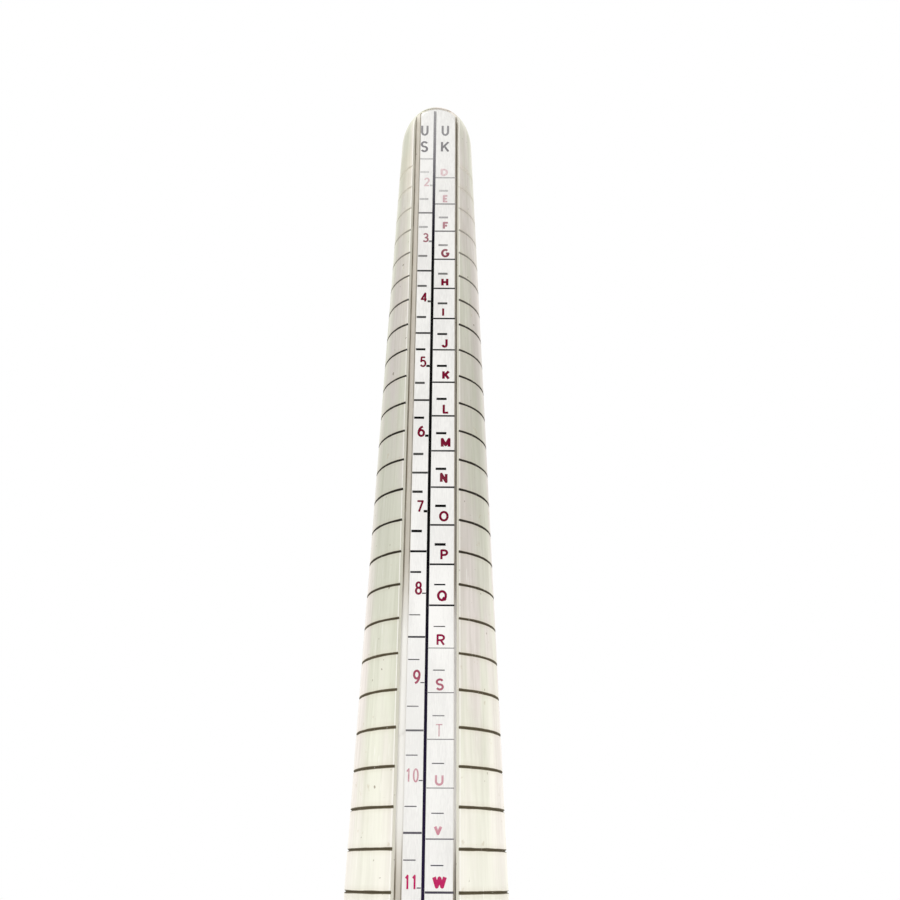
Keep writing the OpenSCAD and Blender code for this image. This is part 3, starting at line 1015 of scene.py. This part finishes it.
def print_us_uk(inks, tree):
    """The front strip: US sizes on the left and UK letters on the right."""
    size = sizes()
    scale = Scale("us_uk", inks, tree, size.divider_left)
    face, left, right, pitch = scale.face, scale.left, scale.right, size.us_pitch
    line, tick = size.line_thickness, size.tick_thickness

    def us(mark):
        return face.v_at((mark - size.us_at_first) * pitch)

    # US: a full line at each half, short ticks at the quarters and a stub at each whole size
    count = len(US_SIZES)
    scale.full_lines(count + 1, us(1.5), pitch, MARGINS[0], left, line)
    for quarter in (1.75, 2.25):
        scale.ticks(count, us(quarter), pitch, *US_TICK, tick)
    scale.ticks(count, us(2), pitch, left - US_STUB, left, tick)
    for mark in US_SIZES:
        tall, wide = US_ONE if mark < 10 else US_TWO
        pen = US_PENS[mark] * MM if mark in US_PENS else size.digit_pen
        tall *= size.digit_height
        scale.text(str(mark), tall, left - US_STUB, us(mark) - US_DROP, pen, 1.0, wide)

    def uk(mark):
        return face.v_at(size.uk_first_line + mark * size.uk_pitch)

    # UK: a full line under each letter, and a short tick half way between the lines
    count, pitch = len(UK_SIZES), size.uk_pitch
    scale.full_lines(count, uk(0), pitch, right, face.width - MARGINS[1], line * FINE, WORN_UK_LINE)
    scale.ticks(count - 1, uk(0.5), pitch, right + UK_TICK[0], right + UK_TICK[1], tick)
    for index, letter in enumerate(UK_SIZES):
        across, lift, tall, pen = mm(*UK_PLACES[index] if index < len(UK_PLACES) else UK_OTHER)
        scale.text(letter, tall, right + across, uk(index) + lift, pen, width=size.letter_height / tall)

    scale.headings((("US", US_HEADING), ("UK", right + UK_HEADING)), FRONT_HEADINGS)
    scale.finish()


def print_eu_jp(inks, tree):
    """The back strip: European sizes level with the grooves, and Japanese sizes."""
    size = sizes()
    scale = Scale("eu_jp", inks, tree, REAR_DIVIDER)
    face, left, right = scale.face, scale.left, scale.right
    line, tick = size.line_thickness * FINE, size.tick_thickness * FINE
    clear, reach = REAR_TICK
    middle = right + (face.width - right) / 2
    eu_sizes = range(size.first_size, size.last_size + 1)
    columns = (
        (eu_sizes, 0.0, size.groove_pitch, (MARGINS[0], left), (clear, reach), left - REAR_GAP, 1.0),
        (JP_SIZES, -size.jp_first, size.jp_pitch, (right, face.width - MARGINS[1]),
         (face.width - reach, face.width - clear), middle, 0.5),
    )
    for marks, first, pitch, line_ends, tick_ends, u, align in columns:
        scale.full_lines(len(marks), face.v_at(first), pitch, *line_ends, line)
        scale.ticks(len(marks) - 1, face.v_at(first + pitch / 2), pitch, *tick_ends, tick)
        for step, mark in enumerate(marks):
            base = face.v_at(first + step * pitch) + REAR_LIFT
            scale.text(str(mark), REAR_TALL, u, base, size.digit_pen, align)
    scale.headings((("EU", left / 2), ("JP", middle)), REAR_HEADINGS)
    scale.finish()


# ------------------------------------------------------------------ studio


def build_camera():
    """A camera low in front of the tool that looks up along it to the tip."""
    look = studio()
    data = bpy.data.cameras.new("camera")
    data.sensor_width = SENSOR_MM
    data.lens = look.focal_mm
    data.clip_start = NEAREST_SEEN
    camera = new_object("camera", data)
    rise, turn, roll = look.camera_rise, look.camera_turn, look.camera_roll
    forward = Vector((math.sin(turn) * math.sin(rise), math.cos(rise), math.cos(turn) * math.sin(rise)))
    right = Vector((math.cos(turn), 0.0, -math.sin(turn)))
    up = right.cross(forward)
    level_right = math.cos(roll) * right + math.sin(roll) * up
    level_up = math.cos(roll) * up - math.sin(roll) * right
    place = Matrix((level_right, level_up, -forward)).transposed().to_4x4()
    height = first_groove_z() - look.camera_drop
    place.translation = (look.camera_side, -look.camera_forward, height)
    camera.matrix_world = Matrix.Rotation(look.camera_orbit, 4, "Z") @ place
    bpy.context.scene.camera = camera


def build_world():
    """White to look at; as light, a pale room that is dimmer beside the tool and at eye height."""
    look = studio()
    world = bpy.data.worlds.new("studio")
    world.use_nodes = True
    nodes = Nodes(world.node_tree)
    nodes.tree.nodes.clear()
    depth, height = nodes.split(nodes.value("ShaderNodeTexCoord", output="Generated"))[1:]
    flat = (1.0 - height * height).root()
    ahead = depth * -1.0 / larger(flat, 0.01)
    front = ahead.ramp(0.1, 0.8, 0.0, look.front_glow - look.side_glow)
    behind = ahead.ramp(-0.5, -0.97, 0.0, look.back_glow - look.side_glow)
    low = height.ramp(0.42, 0.08, 0.0, look.low_lift)
    high = height.ramp(0.47, 0.82, 0.0, look.high_lift)
    level = (front + behind + look.side_glow) * (low + high + 1.0)
    rays = nodes.add("ShaderNodeLightPath").outputs
    clear = larger(Value(nodes, rays["Is Camera Ray"]), Value(nodes, rays["Is Transmission Ray"]))
    light = {
        "Color": nodes.mix(clear, ROOM_TINT, (1.0, 1.0, 1.0)),
        "Strength": nodes.blend(clear, smaller(level, look.brightest), 1.0),
    }
    nodes.add("ShaderNodeOutputWorld", {"Surface": nodes.value("ShaderNodeBackground", light)})
    bpy.context.scene.world = world


def build_floor():
    """A plain pale floor with a barely uneven finish."""
    form = bmesh.new()
    bmesh.ops.create_grid(form, x_segments=8, y_segments=8, size=FLOOR_REACH)
    mesh = bpy.data.meshes.new("floor")
    form.to_mesh(mesh)
    form.free()
    finish = Finish("floor", Specular_IOR_Level=0.2)
    cloud = finish.noise((3, 3, 3), 2.0)
    finish.base(cloud, *FLOOR_TONES)
    mesh.materials.append(finish.done(Roughness=cloud.ramp(0.3, 0.7, 0.6, 0.7)))
    floor = new_object("floor", mesh)
    floor.location.z = -FLOOR_GAP


def build_lamp(name, place, size, power):
    """A square lamp that faces the middle of the tool."""
    data = bpy.data.lights.new(name, "AREA")
    data.size = size
    data.energy = power
    lamp = new_object(name, data)
    lamp.location = place
    way = (CAD_BOX[0] + CAD_BOX[1]) / 2 - Vector(place)
    lamp.rotation_euler = way.to_track_quat("-Z", "Y").to_euler()


# ------------------------------------------------------------------ operators


class MANDREL_OT_finish_barrel(bpy.types.Operator):
    """Give the barrel its turned aluminium finish with dark grooves"""

    bl_idname = "mandrel.finish_barrel"
    bl_label = "Finish barrel"

    def execute(self, context):
        wear_finish("barrel", barrel_finish())
        return {"FINISHED"}


class MANDREL_OT_finish_strips(bpy.types.Operator):
    """Give the scale strips and their tapes their finish"""

    bl_idname = "mandrel.finish_strips"
    bl_label = "Finish strips"

    def execute(self, context):
        face, tape = strip_finish(), tape_finish()
        for side in ("us_uk_strip", "eu_jp_strip"):
            wear_finish(side, face)
            wear_finish(side + "_tape", tape)
        return {"FINISHED"}


class MANDREL_OT_print_scales(bpy.types.Operator):
    """Print the size scales on both strips"""

    bl_idname = "mandrel.print_scales"
    bl_label = "Print scales"

    def execute(self, context):
        ink, tree = colours(), tick_tree()
        black, red = (ink.black_ink, ink.black_aged), (ink.red_ink, ink.red_aged)
        inks = {
            "lines": ink_finish("line ink", *black, (-20, 26), 0.95, 0.15, 0.1),
            "ticks": ink_finish("tick ink", *black, (-20, 40), 0.95, 0.1, 0.1),
            "headings": ink_finish("heading ink", *black, (-18, 16), 0.42, 0.0),
            "sizes": ink_finish("size ink", *red, (0, 24), 0.64, 0.4, 0.05, 0.85),
        }
        print_us_uk(inks, tree)
        print_eu_jp(inks, tree)
        return {"FINISHED"}


class MANDREL_OT_finish_handle(bpy.types.Operator):
    """Give the grip and its fittings their wood, brass, aluminium and steel"""

    bl_idname = "mandrel.finish_handle"
    bl_label = "Finish handle"

    def execute(self, context):
        ink = colours()
        low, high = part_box("ferrule_brads")
        brass = turned_metal("brass", ink.brass, 0.24, 0.6, (low.z + high.z) / 2)
        worn_by = (
            (wood_finish(), ("grip",)),
            (turned_metal("turned aluminium", ink.aluminium_turned, 0.28), ("collar", "butt_cap")),
            (brass, ("ferrule", "ferrule_brads")),
            (steel_finish(), ("tang_stud", "butt_washer", "butt_nut")),
        )
        for material, nodes in worn_by:
            for node in nodes:
                wear_finish(node, material)
        return {"FINISHED"}


class MANDREL_OT_set_brad_heads(bpy.types.Operator):
    """Set a domed head over each brad of the ferrule"""

    bl_idname = "mandrel.set_brad_heads"
    bl_label = "Set brad heads"

    def execute(self, context):
        set_brad_heads(turned_metal("brad brass", colours().brass, 0.2))
        return {"FINISHED"}


class MANDREL_OT_build_studio(bpy.types.Operator):
    """Set up the camera, floor, world and lamps"""

    bl_idname = "mandrel.build_studio"
    bl_label = "Build studio"

    def execute(self, context):
        build_camera()
        build_world()
        build_floor()
        for lamp in LAMPS:
            build_lamp(*lamp)
        return {"FINISHED"}


class MANDREL_PT_tools(bpy.types.Panel):
    """Lists the steps that dress the ring mandrel"""

    bl_label = "Ring mandrel"
    bl_idname = "MANDREL_PT_tools"
    bl_space_type = "VIEW_3D"
    bl_region_type = "UI"
    bl_category = "Ring mandrel"

    def draw(self, context):
        for step in STEPS:
            self.layout.operator(step.bl_idname)


STEPS = (
    MANDREL_OT_build_studio,
    MANDREL_OT_finish_barrel,
    MANDREL_OT_finish_strips,
    MANDREL_OT_print_scales,
    MANDREL_OT_finish_handle,
    MANDREL_OT_set_brad_heads,
)
GROUPS = {"mandrel_sizes": MandrelSizes, "mandrel_colours": MandrelColours, "mandrel_studio": MandrelStudio}


def register():
    for group in (*GROUPS.values(), *STEPS, MANDREL_PT_tools):
        bpy.utils.register_class(group)
    for name, group in GROUPS.items():
        setattr(bpy.types.Scene, name, PointerProperty(type=group))


def unregister():
    for name in GROUPS:
        delattr(bpy.types.Scene, name)
    for group in (MANDREL_PT_tools, *reversed(STEPS), *GROUPS.values()):
        bpy.utils.unregister_class(group)


def main():
    """Dresses the mandrel step by step."""
    register()
    bpy.context.scene.view_settings.view_transform = "Standard"
    for step in STEPS:
        group, name = step.bl_idname.split(".")
        getattr(getattr(bpy.ops, group), name)()


if __name__ == "__main__":
    main()
